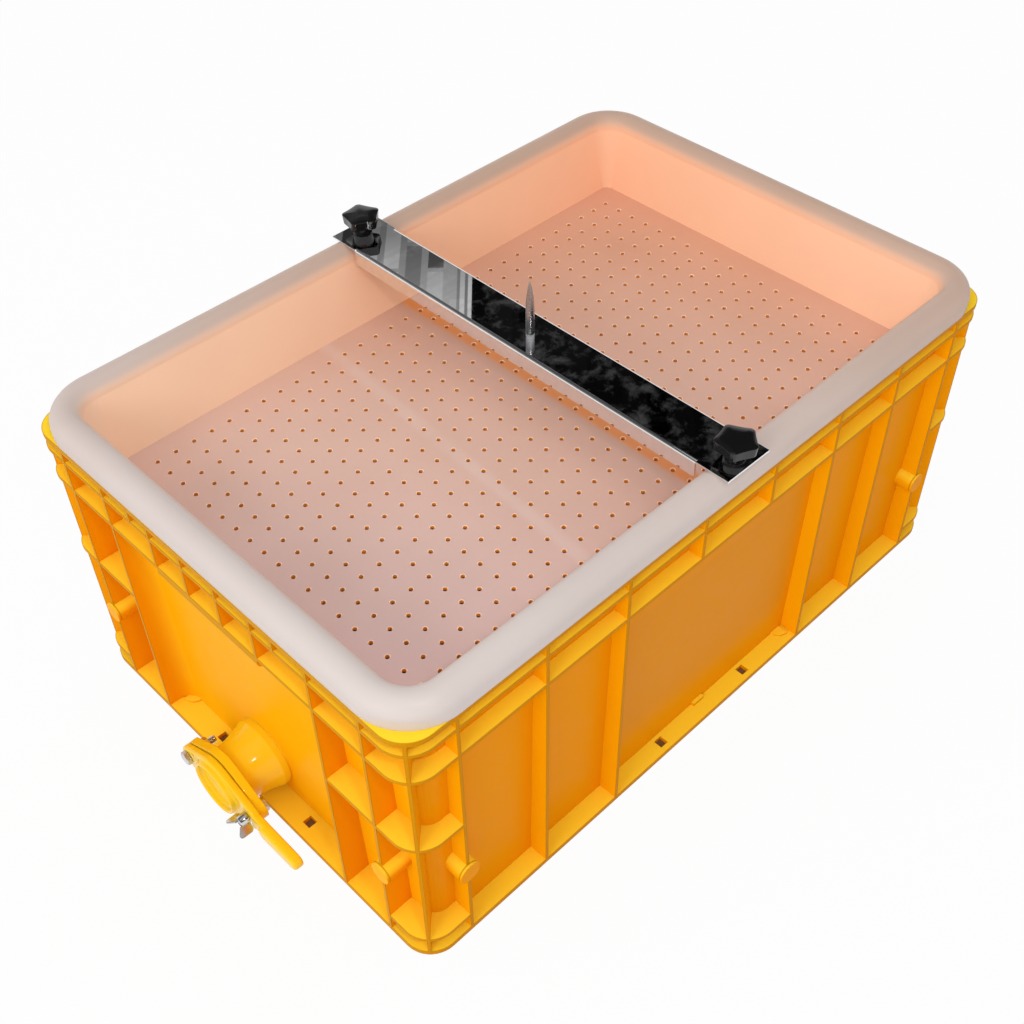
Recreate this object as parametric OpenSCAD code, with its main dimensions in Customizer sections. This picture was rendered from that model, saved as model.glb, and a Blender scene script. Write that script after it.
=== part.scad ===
/* [Crate] */
// Length of the crate over its ribs
crate_len = 600; // [560:1:680]
// Width of the crate over its ribs
crate_wid = 400; // [360:1:460]
// Height of the crate to its top face
crate_h = 250; // [235:1:320]
// Thickness of the crate's walls
crate_wall = 3; // [2:0.1:4]
// Corner radius of the ledge, the lip and the ribs round the crate
flange_r = 23; // [18:0.5:30]
// How far the wall stands behind the ribs at its foot
inset_foot = 15.5; // [14:0.1:17]
// How far the wall stands behind the ribs at its top
inset_top = 11; // [9:0.1:12.5]
// How much further the end walls stand behind their ribs
end_inset = 5; // [3:0.1:7]
// Outer corner radius of the wall at its foot
wall_r = 12; // [9:0.5:15]
// Height of the floor's underside above the ground
floor_z = 2; // [1:0.1:3]
// Thickness of the floor
floor_t = 3; // [2:0.1:3.5]
// Pitch of the stiffening ribs under the floor
base_rib_pitch = 60; // [40:1:90]

/* [Crate ribs] */
// Thickness of every rib
rib_t = 2.4; // [1.8:0.1:3.5]
// Thickness of the ledge round the foot
ledge_t = 4; // [3:0.1:6]
// Thickness of the lip round the top
lip_t = 4; // [3:0.1:6]
// Depth of the upper rib's underside below the top face
upper_rib_drop = 15; // [12:0.5:20]
// Depth of the top band, from the top face to the band rib's underside
band_h = 42; // [35:0.5:55]
// Height of the rib half way up the corner cells
mid_rib_z = 133; // [110:0.5:150]
// Height of the lowest rib round the corners
low_rib_z = 18.5; // [12:0.5:30]
// Distance of the corner posts on the side walls from the crate's ends
side_post_inset = 41; // [38:0.5:46]
// Pitch of the ribs along the side walls
side_rib_pitch = 74; // [60:0.5:84]
// Distance of the corner posts on the end walls from the crate's sides
end_post_inset = 40; // [37:0.5:46]
// Width of the corner panels on the end walls
end_panel_w = 49; // [36:0.5:60]
// Pitch of the short ribs above the hand grip on the end walls
grip_rib_pitch = 37; // [33:0.5:40]
// Radius of the rounded edge of the hand grip
grip_r = 6; // [4:0.1:8]
// Radius of the hollow where the end walls' middle panels meet their ribs
pocket_r = 14; // [8:0.5:17]

/* [Crate details] */
// Diameter of the round bosses
boss_d = 17; // [12:0.5:24]
// Height of the bosses above the ground
boss_z = 78; // [60:0.5:95]
// How far the bosses stand proud of the ribs
boss_proud = 2; // [1:0.1:4]
// Size of the square holes along the ledge
ledge_hole = 7.5; // [5:0.1:8]
// Place of the ledge holes from the middle of a side wall
side_hole_place = 50; // [30:1:70]
// Place of the ledge holes from the middle of an end wall
end_hole_place = 54; // [40:1:70]
// Radius of the quarter round pads in the ledge's corners
pad_r = 11; // [6:0.5:12]
// Height of the pads above the ledge
pad_h = 1.5; // [1:0.1:3]
// Distance of a pad from the rib beside it
pad_gap = 3; // [1:0.5:6]
// Place of the small uprights beside the hand grips
grip_end_place = 78; // [65:0.5:95]
// Width of the small tab at the middle of each side
tab_w = 12; // [8:0.5:20]
// Height of the small tabs above the ledge
tab_h = 3; // [2:0.1:5]

/* [Straining tray] */
// How far the rim stands back from the crate's ends
rim_back = 0.5; // [0.2:0.1:4]
// How far the rim stands over the crate's sides
rim_over = 0.5; // [0.2:0.1:3]
// Outer corner radius of the rim
tray_r = 43; // [41:0.5:56]
// Thickness of the tray's wall
tray_wall = 3; // [2:0.1:4]
// Height of the rim above the crate's top face
rim_h = 19.5; // [17:0.5:26]
// Width of the rounded rim
rim_w = 23; // [20:0.5:27]
// Depth of the tray's floor below the crate's top face
tray_drop = 42; // [30:1:60]
// How far the tray's wall leans in from the rim to the floor
tray_lean = 14; // [8:0.5:18]
// Diameter of the floor holes
drip_hole_d = 3.5; // [2:0.1:5]
// Pitch of the floor holes
drip_pitch = 16; // [14:0.5:20]
// Number of floor holes along the tray
drip_cols = 31; // [21:2:31]
// Number of floor holes across the tray
drip_rows = 19; // [11:2:19]

/* [Crossbar] */
// Length of the crossbar past the knobs' axes
bar_end = 12; // [9:0.5:15]
// Width of the crossbar
bar_w = 43; // [36:1:50]
// Thickness of the crossbar's sheet
bar_t = 1.5; // [1:0.1:2]
// Depth of the turned down flanges
bar_flange = 12; // [8:0.5:14]
// Gap between the flanges' ends and the tray's rim
flange_gap = 4; // [2:0.5:12]
// Inside radius of the folds
bar_bend = 1.5; // [1:0.1:3]

/* [Spike] */
// Diameter of the spike
spike_d = 6.5; // [6.2:0.1:9]
// Height of the spike above the crossbar
spike_h = 46; // [40:1:60]
// Length of the spike's point
spike_point = 25; // [20:1:32]
// Diameter of the spike's threaded foot
spike_foot_d = 6; // [5:0.1:6]

/* [Clamp knobs] */
// Diameter of a knob over its lobes
knob_d = 33; // [30:0.5:42]
// Number of lobes on a knob
knob_lobes = 5; // [4:1:6]
// Thickness of a knob's head
knob_head_h = 8.5; // [7:0.5:12]
// Height of a knob's hub below its head
knob_hub_h = 8.5; // [7:0.5:14]
// Diameter of a knob's hub at its foot
knob_hub_d = 16; // [13:0.5:20]
// Diameter of a knob's hub under its head
knob_neck_d = 20; // [17:0.5:24]
// Angle at which the left knob stands
left_knob_turn = -11; // [-36:1:36]
// Angle at which the right knob stands
right_knob_turn = -7; // [-36:1:36]
// Diameter of a knob's stud
stud_d = 6; // [5:0.1:6.5]
// Length of stud inside the knob
stud_grip = 12; // [8:0.5:14]
// Gap between a stud's end and the crate's lip
stud_gap = 3; // [1:0.5:5]
// Width of a clamp nut across the rim's hollow
clamp_nut_w = 12; // [10:0.5:13]
// Length of a clamp nut
clamp_nut_len = 20; // [14:0.5:26]
// Thickness of a clamp nut
clamp_nut_t = 5; // [3:0.5:6]

/* [Honey gate] */
// Height of the gate's bore above the ground
gate_z = 35; // [34.6:0.1:60]
// Inside diameter of the gate
gate_bore = 38; // [30:0.5:40]
// Diameter of the threaded tail through the wall
tail_d = 47.6; // [46:0.1:49]
// Length of the tail past its back nut
tail_end = 4; // [2:0.5:10]
// Diameter of the neck's mouth on the wall
mouth_d = 58; // [52:0.5:58]
// Diameter of the neck behind its flange
neck_d = 47; // [44:0.5:49]
// Length of the gate from its seat to the blade's face
gate_len = 39; // [34:0.5:50]
// Radius of the hollow sweep along the neck
neck_sweep = 70; // [60:1:90]
// Diameter of the gate's flange
gate_flange_d = 56; // [52:0.5:60]
// Thickness of the gate's flange
gate_flange_t = 6.5; // [5:0.1:8]
// Distance of the pivot and of the clamp stud from the bore's axis
lug_reach = 36.5; // [34:0.5:42]
// Radius of the lugs
lug_r = 8.5; // [7:0.1:10]
// Diameter of the pivot bolt and of the clamp stud
gate_bolt_d = 6; // [5:0.1:6.5]
// Width of the bolt heads and nuts across their flats
gate_hex = 10; // [9:0.1:11]
// Thickness of the pivot bolt's head
hex_head_h = 3.5; // [3:0.1:4]
// Thickness of the nuts
hex_nut_h = 5; // [4:0.1:5.5]
// Outside diameter of the back nut in the crate
back_nut_d = 57; // [54:0.5:58]
// Thickness of the back nut
back_nut_t = 11; // [8:0.5:13]
// Thickness of the rubber gasket
gasket_t = 2; // [1.5:0.1:3]

/* [Gate blade] */
// Diameter of the blade's disc
blade_d = 52; // [48:0.5:56]
// Thickness of the blade
blade_t = 6; // [4:0.1:7]
// Outside diameter of the raised ring on the blade
ring_d = 46; // [42:0.5:47]
// Width of the raised ring
ring_w = 3.2; // [2.5:0.1:4]
// Height of the raised ring above the blade
ring_h = 4; // [2:0.1:5]
// Depth of the dish inside the ring
dish_depth = 2.5; // [1:0.1:3.5]
// Distance of the handle's end from the bore's axis
handle_reach = 95; // [85:1:110]
// Radius of the handle's end
handle_r = 6; // [5:0.1:7.5]
// Radius of the handle's neck at the clamp stud
handle_neck_r = 8; // [7:0.5:9]
// Radius of the handle's root round the clamp stud
handle_root_r = 12; // [11:0.5:14]
// Extra thickness of the grip
grip_extra = 2; // [1:0.1:4]

/* [Wing nut] */
// Diameter of the wing nut's hub
wing_hub_d = 9.6; // [9:0.1:11]
// Thickness of the wing nut's hub
wing_hub_h = 7; // [5:0.5:8]
// Radius that the wings reach
wing_reach = 12; // [10:0.5:13]
// Height of the wings' tips
wing_tip_h = 14; // [11:0.5:16]
// Height of the fold between the wings
wing_fold_h = 10; // [8.5:0.5:11]
// Thickness of the wings' sheet
wing_t = 1.6; // [1.2:0.1:2]
// Droop of each wing from a straight line through the hub
wing_droop = 22; // [0:1:30]

/* [Fits] */
// Radial clearance of a turning fit
run_fit = 0.05; // [0.03:0.01:0.1]
// Radial clearance of a bolt in its hole
bolt_fit = 0.3; // [0.2:0.05:0.5]
// Gap between faces that slide past each other
face_gap = 0.3; // [0.2:0.05:0.5]

/* [Hidden] */
$fn = 64;
// overlap that lets a cut run clean through a face
cut = 1;
// how far inside a circle its tangent lines end, so that none leaves a sliver
tangent_ease = 0.002;
// heights of the two ribs of the top band
upper_rib_z = crate_h - upper_rib_drop;
band_rib_z = crate_h - band_h;
// places of the corner posts' ribs
side_post = crate_len / 2 - side_post_inset;
end_post = crate_wid / 2 - end_post_inset;
// centres of the wall's corner arcs
wall_cx = crate_len / 2 - inset_foot - end_inset - wall_r;
wall_cy = crate_wid / 2 - inset_foot - wall_r;
// the tray over its rim
tray_len = crate_len - 2 * rim_back;
tray_wid = crate_wid + 2 * rim_over;
// centres of the tray's corner arcs
tray_cx = tray_len / 2 - tray_r;
tray_cy = tray_wid / 2 - tray_r;
// the rim's arch: its radius, and its centre outward from a corner's centre
arch_r = rim_w / 2;
arch_d = tray_r - arch_r;
arch_z = crate_h + rim_h - arch_r;
tray_floor_z = crate_h - tray_drop;
tray_floor_d = arch_d - arch_r - tray_lean;
// crossbar and knobs
bar_z = crate_h + rim_h;
knob_z = bar_z + bar_t;
knob_y = tray_cy + arch_d;
bar_len = 2 * (knob_y + bar_end);
bar_flange_len = 2 * (tray_cy + arch_d - arch_r - flange_gap);
stud_reach = rim_h - stud_gap;
// height at which a flat nut of that width meets the arch from below
clamp_nut_top = arch_z + sqrt(pow(arch_r - tray_wall, 2) - pow(clamp_nut_w / 2, 2)) - face_gap;
// gate: place of the seat on the end wall, proud of the wall's foot
seat_x = wall_cx + wall_d(gate_z + mouth_d / 2) + 0.3;
seat_in_x = wall_cx + wall_d(gate_z - mouth_d / 2) - crate_wall - 0.3;
seat_t = seat_x - seat_in_x;
tail_len = seat_t + gasket_t + back_nut_t + tail_end;
blade_z0 = gate_len + face_gap;
blade_z1 = blade_z0 + blade_t;

// distance of the wall's outer face from its corner centre, at height z
function wall_d(z) = wall_r + (inset_foot - inset_top) * z / crate_h;

// distance of the middle of the wall from its corner centre, at height z
function wall_mid(z) = wall_d(z) - crate_wall / 2;

// distance along the corner's diagonal, from the flange's arc centre to the middle of the wall
function diagonal_in(z) =
    let (dx = wall_cx - crate_len / 2 + flange_r, dy = wall_cy - crate_wid / 2 + flange_r, s = dx + dy)
    (s + sqrt(s * s - 2 * (dx * dx + dy * dy - pow(wall_mid(z), 2)))) / sqrt(2);

// rectangle with round corners, centred
module round_rect(l, w, r) {
    square([l - 2 * r, w], center = true);
    square([l, w - 2 * r], center = true);
    for (x = [-1, 1], y = [-1, 1])
        translate([x * (l / 2 - r), y * (w / 2 - r)])
            circle(r);
}

// two circles, r1 at the origin and r2 at [0, d], joined by their outer tangents
module link(r1, r2, d) {
    sink = (r1 - r2) / d;
    rise = sqrt(1 - sink * sink);
    // the joining corners lie just inside the circles
    a = r1 - tangent_ease;
    b = r2 - tangent_ease;
    circle(r1);
    translate([0, d])
        circle(r2);
    polygon([
        [a * rise, a * sink], [b * rise, d + b * sink],
        [-b * rise, d + b * sink], [-a * rise, a * sink]
    ]);
}

// sweeps a profile round a rectangle of corner centres: x is outward, y is up
module sweep_round(cx, cy) {
    for (i = [0, 1], j = [0, 1])
        mirror([i, 0, 0])
            mirror([0, j, 0])
                translate([cx, cy, 0])
                    rotate_extrude(angle = 90)
                        children();
    for (i = [0, 1]) {
        mirror([i, 0, 0])
            translate([cx, cy, 0])
                rotate([90, 0, 0])
                    linear_extrude(2 * cy)
                        children();
        mirror([0, i, 0])
            translate([-cx, cy, 0])
                rotate([90, 0, 90])
                    linear_extrude(2 * cx)
                        children();
    }
}

// repeats children on both ends of the crate
module both_ends() {
    for (i = [0, 1])
        mirror([i, 0, 0])
            children();
}

// repeats children on both sides of the crate
module both_sides() {
    for (i = [0, 1])
        mirror([0, i, 0])
            children();
}

// flat shelf round the crate, from the wall out to the rib line
module shelf(z, t) {
    m = wall_mid(z);
    translate([0, 0, z])
        linear_extrude(t)
            difference() {
                round_rect(crate_len, crate_wid, flange_r);
                round_rect(2 * (wall_cx + m), 2 * (wall_cy + m), m);
            }
}

// the parts of a shelf that lie in the corner cells, beyond x0 and y0
module corner_shelf(z, t, x0, y0) {
    intersection() {
        shelf(z, t);
        both_ends()
            both_sides()
                translate([x0, y0, 0])
                    cube([crate_len, crate_wid, crate_h]);
    }
}

// upright rib on a wall whose corner centre lies at c, out to the rib line
module upright(c, out, z0, z1) {
    rotate([90, 0, 90])
        translate([0, 0, -rib_t / 2])
            linear_extrude(rib_t)
                polygon([
                    [c + wall_mid(z0), z0], [out, z0],
                    [out, z1], [c + wall_mid(z1), z1]
                ]);
}

module side_upright(x, z0, z1) {
    translate([x, 0, 0])
        upright(wall_cy, crate_wid / 2, z0, z1);
}

module end_upright(y, z0, z1) {
    translate([0, y, 0])
        rotate([0, 0, -90])
            upright(wall_cx, crate_len / 2, z0, z1);
}

// upright rib across a corner, from the wall's arc to the ledge's arc
module corner_upright() {
    translate([crate_len / 2 - flange_r, crate_wid / 2 - flange_r, 0])
        rotate([90, 0, 45])
            translate([0, 0, -rib_t / 2])
                linear_extrude(rib_t)
                    polygon([
                        [diagonal_in(0), 0], [flange_r, 0],
                        [flange_r, crate_h - lip_t / 2], [diagonal_in(crate_h), crate_h - lip_t / 2]
                    ]);
}

module wall_profile() {
    polygon([
        [wall_d(0) - crate_wall, 0], [wall_d(0), 0],
        [wall_d(crate_h), crate_h], [wall_d(crate_h) - crate_wall, crate_h]
    ]);
}

// boss standing out of a wall whose corner centre lies at c
module boss(c, out) {
    foot = c + wall_mid(boss_z);
    translate([0, foot, boss_z])
        rotate([-90, 0, 0])
            cylinder(d = boss_d, h = out + boss_proud - foot);
}

module floor_plate() {
    m = wall_mid(floor_z);
    translate([0, 0, floor_z])
        linear_extrude(floor_t)
            round_rect(2 * (wall_cx + m), 2 * (wall_cy + m), m);
    linear_extrude(floor_z + cut)
        intersection() {
            round_rect(2 * (wall_cx + m), 2 * (wall_cy + m), m);
            union() {
                for (x = [-floor(wall_cx / base_rib_pitch) : floor(wall_cx / base_rib_pitch)])
                    translate([x * base_rib_pitch, 0])
                        square([rib_t, crate_wid], center = true);
                for (y = [-floor(wall_cy / base_rib_pitch) : floor(wall_cy / base_rib_pitch)])
                    translate([0, y * base_rib_pitch])
                        square([crate_len, rib_t], center = true);
            }
        }
}

module crate_uprights() {
    foot = ledge_t / 2;
    top = crate_h - lip_t / 2;
    both_sides()
        both_ends() {
            for (k = [0 : 2])
                side_upright(side_post - k * side_rib_pitch, foot, top);
            side_upright(side_post - 3 * side_rib_pitch, band_rib_z + rib_t / 2, top);
            for (k = [0 : 1])
                end_upright((k + 0.5) * grip_rib_pitch, band_rib_z + rib_t / 2, top);
            end_upright(grip_end_place, upper_rib_z + rib_t / 2, top);
            end_upright(end_post - end_panel_w, foot, top);
            end_upright(end_post, foot, top);
            corner_upright();
        }
}

module crate_bosses() {
    both_sides()
        both_ends() {
            translate([side_post, 0, 0])
                boss(wall_cy, crate_wid / 2);
            translate([0, end_post, 0])
                rotate([0, 0, -90])
                    boss(wall_cx, crate_len / 2);
        }
}

// hollow corner between an end wall and the rib beside its middle panel, leaning with the wall
module pocket_corners() {
    lean = atan((inset_foot - inset_top) / crate_h);
    both_sides()
        both_ends()
            translate([wall_cx + wall_mid(0), end_post - end_panel_w, 0])
                rotate([0, lean, 0])
                    translate([0, 0, ledge_t / 2])
                        linear_extrude(band_rib_z + rib_t / 2 - ledge_t / 2)
                            difference() {
                                translate([0, -rib_t / 2 - pocket_r])
                                    square([crate_wall / 2 + pocket_r, rib_t / 2 + pocket_r]);
                                translate([crate_wall / 2 + pocket_r, -rib_t / 2 - pocket_r])
                                    circle(pocket_r);
                            }
}

module hand_grips() {
    reach = 1.5 * grip_rib_pitch;
    both_ends()
        translate([crate_len / 2 - grip_r, reach, band_rib_z + rib_t - grip_r])
            rotate([90, 0, 0])
                cylinder(r = grip_r, h = 2 * reach);
}

// quarter round pads where the ledge meets the middle panel's ribs
module ledge_pads() {
    y = end_post - end_panel_w - rib_t / 2 - pad_gap;
    x = side_post - 2 * side_rib_pitch - rib_t / 2 - pad_gap;
    both_sides()
        both_ends() {
            translate([wall_cx + wall_mid(0), y, ledge_t / 2])
                rotate([0, 0, -90])
                    rotate_extrude(angle = 90)
                        square([pad_r, ledge_t / 2 + pad_h]);
            translate([x, wall_cy + wall_mid(0), ledge_t / 2])
                rotate([0, 0, 90])
                    rotate_extrude(angle = 90)
                        square([pad_r, ledge_t / 2 + pad_h]);
        }
}

module ledge_tabs() {
    both_sides()
        translate([-tab_w / 2, wall_cy + wall_mid(0), ledge_t / 2])
            cube([tab_w, crate_wall / 2 + tab_h, ledge_t / 2 + tab_h]);
}

module ledge_holes() {
    both_sides()
        both_ends() {
            translate([side_hole_place, crate_wid / 2 - inset_foot / 2 - 1, ledge_t / 2])
                cube([ledge_hole, ledge_hole, ledge_t + 2 * cut], center = true);
            translate([crate_len / 2 - (inset_foot + end_inset) / 2 - 2, end_hole_place, ledge_t / 2])
                cube([ledge_hole, ledge_hole, ledge_t + 2 * cut], center = true);
        }
}

// flat seat round the gate's hole, on both faces of the end wall
module gate_seat() {
    translate([-seat_x, 0, gate_z])
        rotate([0, 90, 0])
            cylinder(d = mouth_d, h = seat_t);
}

module gate_hole() {
    translate([-seat_x - cut, 0, gate_z])
        rotate([0, 90, 0])
            cylinder(d = tail_d + 2 * bolt_fit, h = seat_t + 2 * cut);
}

module crate() {
    color("orange")
        difference() {
            union() {
                sweep_round(wall_cx, wall_cy)
                    wall_profile();
                floor_plate();
                shelf(0, ledge_t);
                shelf(crate_h - lip_t, lip_t);
                shelf(upper_rib_z, rib_t);
                shelf(band_rib_z, rib_t);
                corner_shelf(mid_rib_z, rib_t, side_post, end_post - end_panel_w);
                corner_shelf(low_rib_z, rib_t, side_post, end_post);
                crate_uprights();
                crate_bosses();
                pocket_corners();
                hand_grips();
                ledge_pads();
                ledge_tabs();
                gate_seat();
            }
            ledge_holes();
            gate_hole();
        }
}

// cross-section of the tray: leaning wall, hollow round rim and outer skirt
module tray_profile() {
    lean_out = tray_floor_d + tray_wall;
    rim_in = arch_d - arch_r;
    polygon([
        [tray_floor_d, tray_floor_z - tray_wall], [lean_out, tray_floor_z - tray_wall],
        [lean_out, tray_floor_z], [rim_in + tray_wall, arch_z],
        [rim_in, arch_z], [tray_floor_d, tray_floor_z]
    ]);
    intersection() {
        translate([arch_d, arch_z])
            difference() {
                circle(arch_r);
                circle(arch_r - tray_wall);
            }
        translate([rim_in, arch_z])
            square([rim_w, arch_r + cut]);
    }
    translate([tray_r - tray_wall, crate_h])
        square([tray_wall, arch_z - crate_h]);
}

module tray_shell() {
    color("ivory")
        difference() {
            sweep_round(tray_cx, tray_cy)
                tray_profile();
            both_sides()
                translate([0, knob_y, arch_z])
                    cylinder(d = stud_d + 2 * bolt_fit, h = arch_r + cut);
        }
}

module tray_floor() {
    color("mistyrose")
        translate([0, 0, tray_floor_z - tray_wall])
            linear_extrude(tray_wall)
                difference() {
                    round_rect(2 * (tray_cx + tray_floor_d), 2 * (tray_cy + tray_floor_d), tray_floor_d);
                    for (i = [0 : drip_cols - 1], j = [0 : drip_rows - 1])
                        translate([(i - (drip_cols - 1) / 2) * drip_pitch, (j - (drip_rows - 1) / 2) * drip_pitch])
                            circle(d = drip_hole_d);
                }
}

// half of the folded section: half the top, one fold and one flange
module bar_half_section() {
    fold = bar_bend + bar_t;
    square([bar_w / 2 - fold, bar_t]);
    translate([bar_w / 2 - bar_t, -bar_flange])
        square([bar_t, bar_flange - bar_bend]);
    translate([bar_w / 2 - fold, -bar_bend])
        intersection() {
            difference() {
                circle(fold);
                circle(bar_bend);
            }
            square(fold + cut);
        }
}

module crossbar() {
    color("silver")
        difference() {
            translate([0, 0, bar_z]) {
                both_ends()
                    translate([0, bar_flange_len / 2, 0])
                        rotate([90, 0, 0])
                            linear_extrude(bar_flange_len)
                                bar_half_section();
                both_sides()
                    translate([-bar_w / 2, bar_flange_len / 2, 0])
                        cube([bar_w, (bar_len - bar_flange_len) / 2, bar_t]);
            }
            both_sides()
                translate([0, knob_y, bar_z - cut])
                    cylinder(d = stud_d + 2 * bolt_fit, h = bar_t + 2 * cut);
            translate([0, 0, bar_z - cut])
                cylinder(d = spike_foot_d + 2 * run_fit, h = bar_t + 2 * cut);
        }
}

module spike() {
    shank = spike_h - spike_point;
    foot = bar_t + hex_nut_h + 2;
    tip = 0.3;
    color("gainsboro")
        translate([0, 0, knob_z]) {
            cylinder(d = spike_d, h = shank);
            translate([0, 0, shank])
                cylinder(d1 = spike_d, d2 = 2 * tip, h = spike_point - tip);
            translate([0, 0, spike_h - tip])
                sphere(tip);
            translate([0, 0, -foot])
                cylinder(d = spike_foot_d, h = foot);
        }
}

// hexagon nut or head, measured across its flats
module hexagon(flats, h) {
    cylinder(d = flats / cos(30), h = h, $fn = 6);
}

module spike_nut() {
    color("lightgray")
        translate([0, 0, bar_z - hex_nut_h])
            difference() {
                hexagon(gate_hex, hex_nut_h);
                translate([0, 0, -cut])
                    cylinder(d = spike_foot_d + 2 * run_fit, h = hex_nut_h + 2 * cut);
            }
}

module knob_outline() {
    r = knob_d / 2;
    scoop = 0.6 * r;
    difference() {
        circle(r);
        for (k = [0 : knob_lobes - 1])
            rotate((k + 0.5) * 360 / knob_lobes)
                translate([0.78 * r + scoop, 0])
                    circle(scoop);
    }
}

module knob() {
    head_z = knob_z + knob_hub_h;
    edge = 1.5;
    difference() {
        union() {
            translate([0, 0, knob_z])
                cylinder(d1 = knob_hub_d, d2 = knob_neck_d, h = knob_hub_h);
            intersection() {
                translate([0, 0, head_z])
                    linear_extrude(knob_head_h)
                        knob_outline();
                translate([0, 0, head_z])
                    rotate_extrude() {
                        square([knob_d / 2 - edge, knob_head_h]);
                        square([knob_d / 2, knob_head_h - edge]);
                        translate([knob_d / 2 - edge, knob_head_h - edge])
                            circle(edge);
                    }
            }
        }
        translate([0, 0, knob_z - cut])
            cylinder(d = stud_d, h = stud_grip + cut);
    }
}

module knob_stud() {
    translate([0, 0, bar_z - stud_reach])
        cylinder(d = stud_d, h = stud_reach + bar_t + stud_grip);
}

module clamp_nut() {
    translate([0, 0, clamp_nut_top - clamp_nut_t])
        difference() {
            translate([-clamp_nut_len / 2, -clamp_nut_w / 2, 0])
                cube([clamp_nut_len, clamp_nut_w, clamp_nut_t]);
            translate([0, 0, -cut])
                cylinder(d = stud_d + 2 * run_fit, h = clamp_nut_t + 2 * cut);
        }
}

module knob_left() {
    color("#202020")
        translate([0, knob_y, 0])
            rotate(left_knob_turn)
                knob();
}

module knob_right() {
    color("#202020")
        translate([0, -knob_y, 0])
            rotate(right_knob_turn)
                knob();
}

module knob_stud_left() {
    color("silver")
        translate([0, knob_y, 0])
            knob_stud();
}

module knob_stud_right() {
    color("silver")
        translate([0, -knob_y, 0])
            knob_stud();
}

module clamp_nut_left() {
    color("lightgray")
        translate([0, knob_y, 0])
            clamp_nut();
}

module clamp_nut_right() {
    color("lightgray")
        translate([0, -knob_y, 0])
            clamp_nut();
}

// puts the gate on its seat: z runs outward along the bore, x up and y across
module on_gate() {
    translate([-seat_x, 0, gate_z])
        rotate([0, -90, 0])
            children();
}

// the flange with its two lugs
module gate_flange_outline() {
    for (i = [0, 1])
        mirror([0, i])
            link(gate_flange_d / 2, lug_r, lug_reach);
}

module neck_profile() {
    neck_h = gate_len - gate_flange_t;
    difference() {
        square([mouth_d / 2, neck_h + cut]);
        translate([neck_d / 2 + neck_sweep, neck_h])
            circle(neck_sweep, $fn = 128);
        translate([neck_d / 2, neck_h])
            square([mouth_d, 2 * cut]);
    }
}

module gate_body() {
    color("gold")
        on_gate()
            difference() {
                union() {
                    rotate_extrude()
                        neck_profile();
                    translate([0, 0, gate_len - gate_flange_t])
                        linear_extrude(gate_flange_t)
                            gate_flange_outline();
                    translate([0, 0, -tail_len])
                        cylinder(d = tail_d, h = tail_len + cut);
                }
                translate([0, 0, -tail_len - cut])
                    cylinder(d = gate_bore, h = tail_len + gate_len + 2 * cut);
                for (s = [-1, 1])
                    translate([0, s * lug_reach, gate_len - gate_flange_t - cut])
                        cylinder(d = gate_bolt_d + 2 * run_fit, h = gate_flange_t + 2 * cut);
            }
}

module gate_gasket() {
    color("#303030")
        on_gate()
            translate([0, 0, -seat_t - gasket_t])
                difference() {
                    cylinder(d = back_nut_d - 1, h = gasket_t);
                    translate([0, 0, -cut])
                        cylinder(d = tail_d + 2 * run_fit, h = gasket_t + 2 * cut);
                }
}

module gate_back_nut() {
    back = seat_t + gasket_t;
    notch = 6;
    color("gold")
        on_gate()
            translate([0, 0, -back - back_nut_t])
                difference() {
                    cylinder(d = back_nut_d, h = back_nut_t);
                    translate([0, 0, -cut])
                        cylinder(d = tail_d + 2 * run_fit, h = back_nut_t + 2 * cut);
                    for (k = [0 : 5])
                        rotate(30 + k * 60)
                            translate([back_nut_d / 2 + notch / 4, 0, -cut])
                                cylinder(d = notch, h = back_nut_t + 2 * cut);
                }
}

// the disc, the pivot lug, the root and the handle, less the slot for the clamp stud
module blade_outline() {
    slot = gate_bolt_d / 2 + 2 * bolt_fit;
    mouth = 1.5 * handle_root_r;
    // the stud's path is an arc round the pivot, so the slot widens towards its mouth
    drift = mouth * mouth / (4 * lug_reach);
    difference() {
        union() {
            link(blade_d / 2, lug_r, lug_reach);
            mirror([0, 1])
                link(blade_d / 2, handle_root_r, lug_reach);
            translate([0, -lug_reach])
                mirror([0, 1])
                    link(handle_neck_r, handle_r, handle_reach - handle_r - lug_reach);
        }
        translate([0, -lug_reach]) {
            circle(slot);
            polygon([[0, -slot], [0, slot], [-mouth, slot + drift], [-mouth, -slot]]);
        }
    }
}

// raised ring with a rounded crown, standing on the blade's face
module blade_ring() {
    crown = ring_w / 2;
    rotate_extrude()
        translate([ring_d / 2 - ring_w, 0]) {
            translate([0, blade_t - cut])
                square([ring_w, cut + ring_h - crown]);
            translate([crown, blade_t + ring_h - crown])
                circle(crown);
        }
}

// ball whose cap is dish_depth deep, with its mouth just inside the ring
module blade_dish() {
    mouth = ring_d / 2 - ring_w - 1;
    ball = (mouth * mouth + dish_depth * dish_depth) / (2 * dish_depth);
    translate([0, 0, blade_t + ball - dish_depth])
        rotate([90, 0, 0])
            sphere(ball, $fn = 180);
}

// the thicker grip, clear of the wing nut's sweep
module blade_grip() {
    start = lug_reach + wing_reach + face_gap + handle_neck_r;
    end = handle_reach - handle_r;
    translate([0, -start, blade_t - cut])
        linear_extrude(cut + grip_extra)
            mirror([0, 1])
                link(handle_r + 0.5, handle_r - 0.5, end - start);
}

module gate_blade() {
    color("gold")
        on_gate()
            translate([0, 0, blade_z0])
                union() {
                    difference() {
                        linear_extrude(blade_t)
                            blade_outline();
                        blade_dish();
                        translate([0, lug_reach, -cut])
                            cylinder(d = gate_bolt_d + 2 * run_fit, h = blade_t + 2 * cut);
                    }
                    blade_ring();
                    blade_grip();
                }
}

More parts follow.
